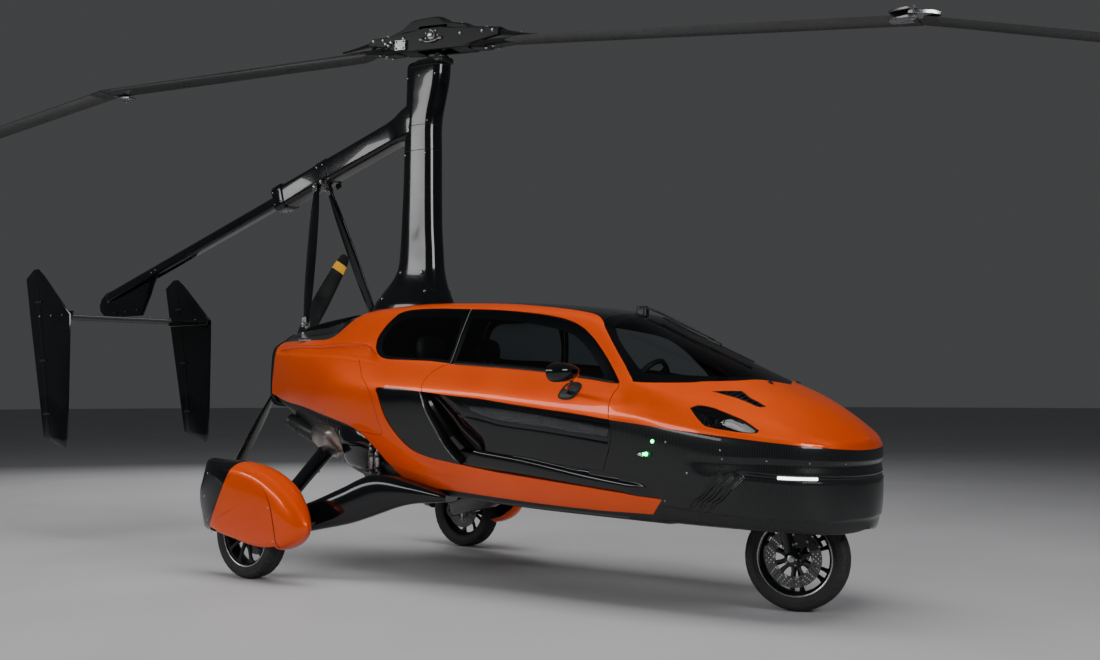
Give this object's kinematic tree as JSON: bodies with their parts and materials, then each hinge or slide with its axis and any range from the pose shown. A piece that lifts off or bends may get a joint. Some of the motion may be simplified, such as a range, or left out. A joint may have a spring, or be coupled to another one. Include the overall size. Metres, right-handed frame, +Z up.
{
  "type": "roadable gyrocopter",
  "caption": "Two-seat roadable gyrocopter on three wheels: enclosed cabin, folding rotor on a mast, telescoping twin-fin tail, pusher propeller.",
  "frame": {"origin": "on the floor under the rotor head, at the middle of the vehicle's overall box with the rotor blades parked fore and aft", "axes": "+X to the nose, +Y to the occupants' left, +Z up"},
  "size_m": [10.668, 1.97, 3.1875],
  "materials": {
    "orange_paint": "metallic gloss paint",
    "black_gloss": "gloss clear coat on carbon weave",
    "black_blade": "satin black",
    "black_trim": "matte",
    "window_glass": "tinted clear",
    "lamp_glass": "clear",
    "seat_cover": "matte leather",
    "engine_metal": "cast",
    "steel": "satin",
    "alloy_wheel": "satin",
    "tyre_rubber": "rubber"
  },
  "bodies": {
    "fuselage": {"cabin_tub": "black_trim", "right_side_frame": "orange_paint", "left_side_frame": "orange_paint", "roof_panel": "black_gloss", "rear_deck": "black_gloss", "engine_cowl": "black_gloss", "nose_cowl": "black_gloss", "hood": "orange_paint", "headlamps": "lamp_glass", "windscreen": "window_glass", "quarter_windows": "window_glass", "wiper": "black_trim", "navigation_lights": "lamp_glass", "dashboard": "black_trim", "seats": "seat_cover", "engine_block": "engine_metal", "exhaust_muffler": "steel", "rear_arms": "black_gloss", "rear_struts": "black_gloss", "wheel_spats": "orange_paint", "steering_head": "steel", "mast": "black_gloss", "boom_sleeve": "black_gloss", "boom_braces": "black_gloss"},
    "right_door": {"right_door": "orange_paint", "right_door_glass": "window_glass", "right_mirror": "black_gloss"},
    "left_door": {"left_door": "orange_paint", "left_door_glass": "window_glass", "left_mirror": "black_gloss"},
    "front_fork": {"front_fork": "steel"},
    "front_wheel": {"front_tyre": "tyre_rubber", "front_rim": "alloy_wheel", "front_brake_disc": "steel"},
    "right_rear_wheel": {"right_rear_tyre": "tyre_rubber", "right_rear_rim": "alloy_wheel"},
    "left_rear_wheel": {"left_rear_tyre": "tyre_rubber", "left_rear_rim": "alloy_wheel"},
    "steering_wheel": {"steering_wheel": "black_trim"},
    "rotor_tower": {"rotor_tower": "steel"},
    "rotor_hub": {"rotor_hub": "steel", "front_blade_root": "black_blade", "rear_blade_root": "black_blade"},
    "front_blade_tip": {"front_blade_tip": "black_blade"},
    "rear_blade_tip": {"rear_blade_tip": "black_blade"},
    "propeller": {"propeller": "black_blade"},
    "tail": {"tail_boom": "black_gloss", "tailplane": "black_gloss", "tail_fins": "black_gloss"}
  },
  "joints": [
    {"name": "right_door_hinge", "type": "hinge", "parent": "fuselage", "child": "right_door", "pos_m": [1.6, -0.562, 0.8], "axis": [0, 0, 1], "range_deg": [0, 65]},
    {"name": "left_door_hinge", "type": "hinge", "parent": "fuselage", "child": "left_door", "pos_m": [1.6, 0.562, 0.8], "axis": [0, 0, -1], "range_deg": [0, 65]},
    {"name": "steering", "type": "hinge", "parent": "fuselage", "child": "front_fork", "pos_m": [2.262, 0, 0.24529], "axis": [-0.2588, 0, 0.9659], "range_deg": [-46, 24]},
    {"name": "steering_wheel_turn", "type": "hinge", "parent": "fuselage", "child": "steering_wheel", "pos_m": [1.29, 0.235, 1.047], "axis": [-0.8713, 0, 0.4907], "range_deg": [-138, 72]},
    {"name": "front_wheel_spin", "type": "hinge", "parent": "front_fork", "child": "front_wheel", "pos_m": [2.262, 0, 0.24529], "axis": [-0.1843, 0.9816, -0.0494], "continuous": true},
    {"name": "right_rear_wheel_spin", "type": "hinge", "parent": "fuselage", "child": "right_rear_wheel", "pos_m": [-0.58, -0.887, 0.245], "axis": [0, 1, 0], "continuous": true},
    {"name": "left_rear_wheel_spin", "type": "hinge", "parent": "fuselage", "child": "left_rear_wheel", "pos_m": [-0.58, 0.887, 0.245], "axis": [0, 1, 0], "continuous": true},
    {"name": "rotor_spin", "type": "hinge", "parent": "fuselage", "child": "rotor_tower", "pos_m": [-0.014, 0, 3.085], "axis": [0.0553, 0.0078, 0.9984], "continuous": true},
    {"name": "rotor_teeter", "type": "hinge", "parent": "rotor_tower", "child": "rotor_hub", "pos_m": [-0.014, 0, 3.085], "axis": [-0.1392, 0.9903, 0], "range_deg": [-8, 8]},
    {"name": "front_blade_fold", "type": "hinge", "parent": "rotor_hub", "child": "front_blade_tip", "pos_m": [2.77101, 0.20964, 2.77581], "axis": [-0.0553, -0.0078, -0.9984], "range_deg": [0, 180]},
    {"name": "rear_blade_fold", "type": "hinge", "parent": "rotor_hub", "child": "rear_blade_tip", "pos_m": [-2.81594, -0.21202, 3.08841], "axis": [-0.0553, -0.0078, -0.9984], "range_deg": [0, 180]},
    {"name": "propeller_spin", "type": "hinge", "parent": "fuselage", "child": "propeller", "pos_m": [-1.3, 0, 1.195], "axis": [1, 0, 0], "continuous": true},
    {"name": "tail_boom_slide", "type": "slide", "parent": "fuselage", "child": "tail", "axis": [0.9598, 0, 0.2807], "range_m": [0, 0.85]}
  ],
  "couplings": [
    {"joint": "steering_wheel_turn", "follows": "steering", "ratio": 3}
  ]
}
